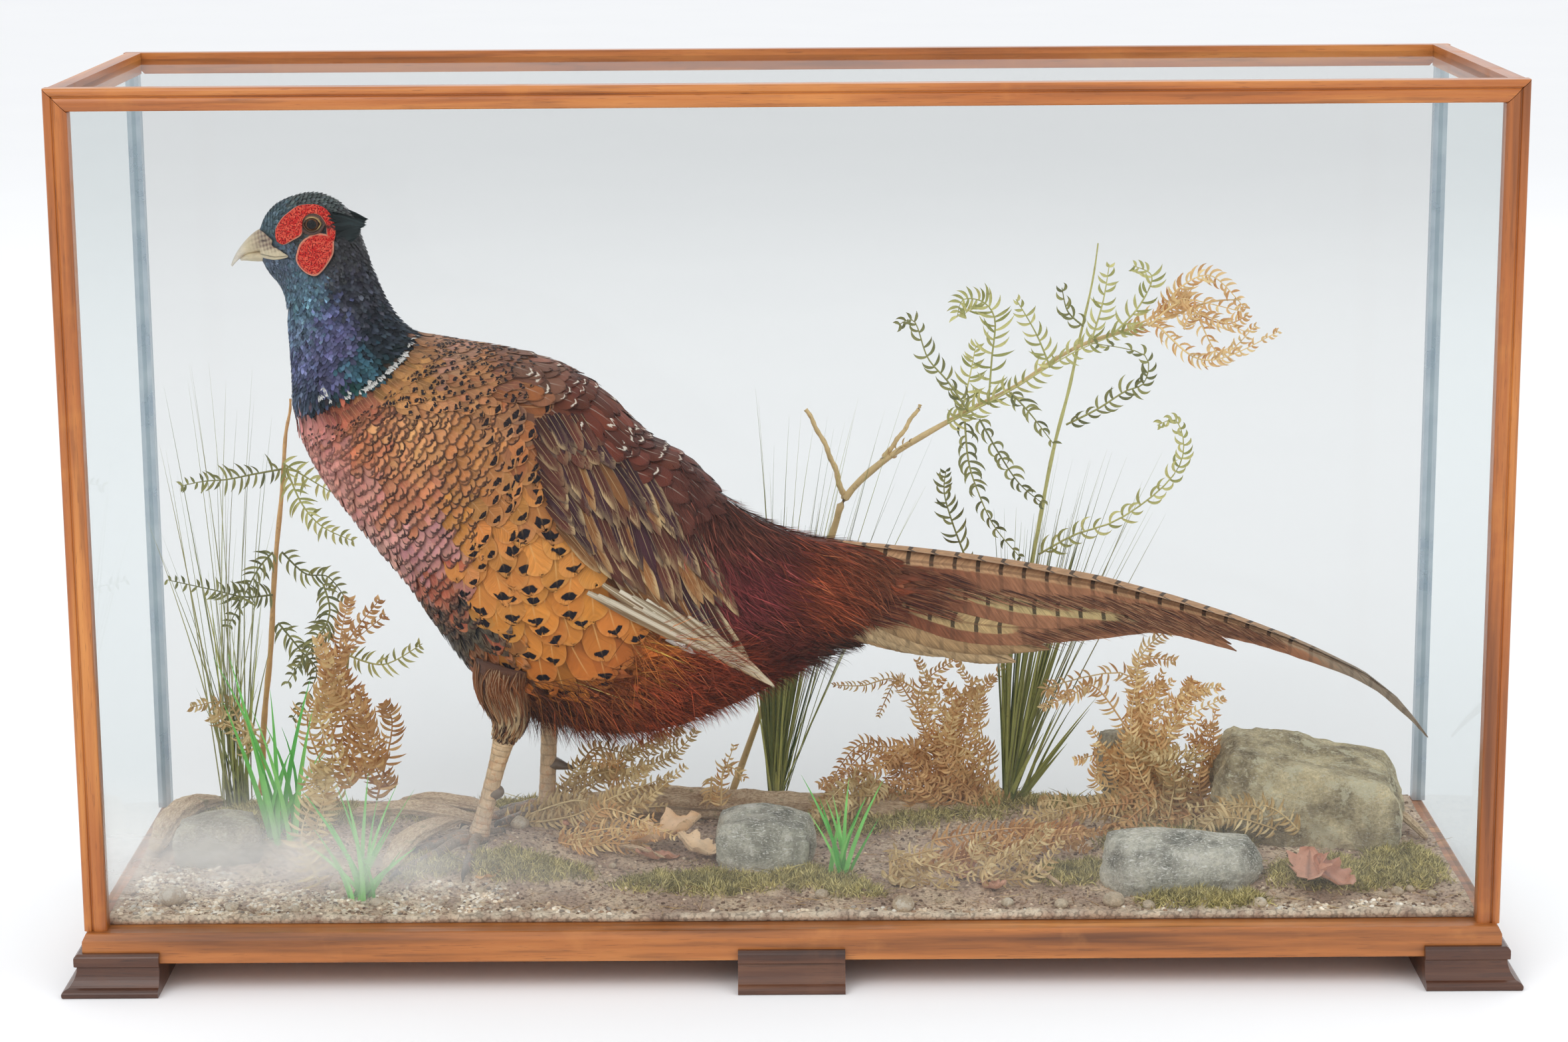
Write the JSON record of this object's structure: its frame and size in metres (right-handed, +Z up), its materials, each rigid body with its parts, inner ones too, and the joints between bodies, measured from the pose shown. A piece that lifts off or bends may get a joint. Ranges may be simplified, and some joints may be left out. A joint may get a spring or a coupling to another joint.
{
  "type": "taxidermy pheasant in a glazed display case",
  "caption": "Mounted cock pheasant standing on sanded groundwork with stones, ferns and sedge inside a glazed wooden case on moulded feet.",
  "frame": {"origin": "middle of the case at the level of the undersides of its six feet", "axes": "+X along the case from the bird's head to its tail, +Y from the front pane to the back pane, +Z up"},
  "size_m": [0.9244, 0.3194, 0.572],
  "materials": {
    "plinth_wood": "french-polished walnut-brown board with a soft sheen",
    "rail_wood": "polished honey-brown moulding",
    "foot_wood": "dark stained moulded feet",
    "zinc_strip": "dull grey metal glazing strip",
    "glazing": "clear thin window glass",
    "soil": "sanded and gritted plaster groundwork",
    "stone": "grey weathered stone",
    "bark": "dry bark",
    "feather_head": "glossy green-black feathers",
    "feather_neck": "glossy blue and violet feathers",
    "feather_body": "copper feathers with dark edges",
    "feather_rump": "maroon hair-like feathers",
    "feather_wing": "brown feathers with buff streaks",
    "feather_tail": "buff tail feathers with dark bars",
    "red_skin": "grained red skin",
    "horn": "pale horn",
    "leg_skin": "dry scaled leg skin",
    "glass_eye": "dark amber glass eye",
    "dried_leaf": "dried and varnished fern and sedge",
    "dyed_grass": "bright green dyed grass"
  },
  "bodies": {
    "root": {"bill_lower": "horn", "bill_upper": "horn", "bracken_back": "dried_leaf", "bracken_left": "dried_leaf", "case_foot_back_left": "foot_wood", "case_foot_back_middle": "foot_wood", "case_foot_back_right": "foot_wood", "case_foot_front_left": "foot_wood", "case_foot_front_middle": "foot_wood", "case_foot_front_right": "foot_wood", "ear_tuft_left": "feather_head", "ear_tuft_right": "feather_head", "eye_left": "glass_eye", "eye_right": "glass_eye", "foot_left": "leg_skin", "foot_right": "leg_skin", "grass_left": "dyed_grass", "grass_middle": "dyed_grass", "grass_near": "dyed_grass", "ground": "soil", "head": "feather_head", "log_back": "bark", "neck": "feather_neck", "pane_back": "glazing", "pane_front": "glazing", "pane_left": "glazing", "pane_right": "glazing", "pane_top": "glazing", "plinth": "plinth_wood", "post_front_left": "rail_wood", "post_front_right": "rail_wood", "rail_back": "rail_wood", "rail_front": "rail_wood", "rail_left": "rail_wood", "rail_right": "rail_wood", "reeds_left": "dried_leaf", "rock_large": "stone", "root_near": "bark", "rump": "feather_rump", "sedge_middle": "dried_leaf", "sedge_right": "dried_leaf", "shank_left": "leg_skin", "shank_right": "leg_skin", "stem_green": "dried_leaf", "stone_left": "stone", "stone_middle": "stone", "stone_slab": "stone", "stone_small": "stone", "strip_back_left": "zinc_strip", "strip_back_right": "zinc_strip", "tail_left": "feather_tail", "tail_middle": "feather_tail", "tail_right": "feather_tail", "thigh_left": "feather_body", "thigh_right": "feather_body", "trunk": "feather_body", "wattle_left": "red_skin", "wattle_right": "red_skin", "wing_left": "feather_wing", "wing_right": "feather_wing"}
  },
  "joints": []
}
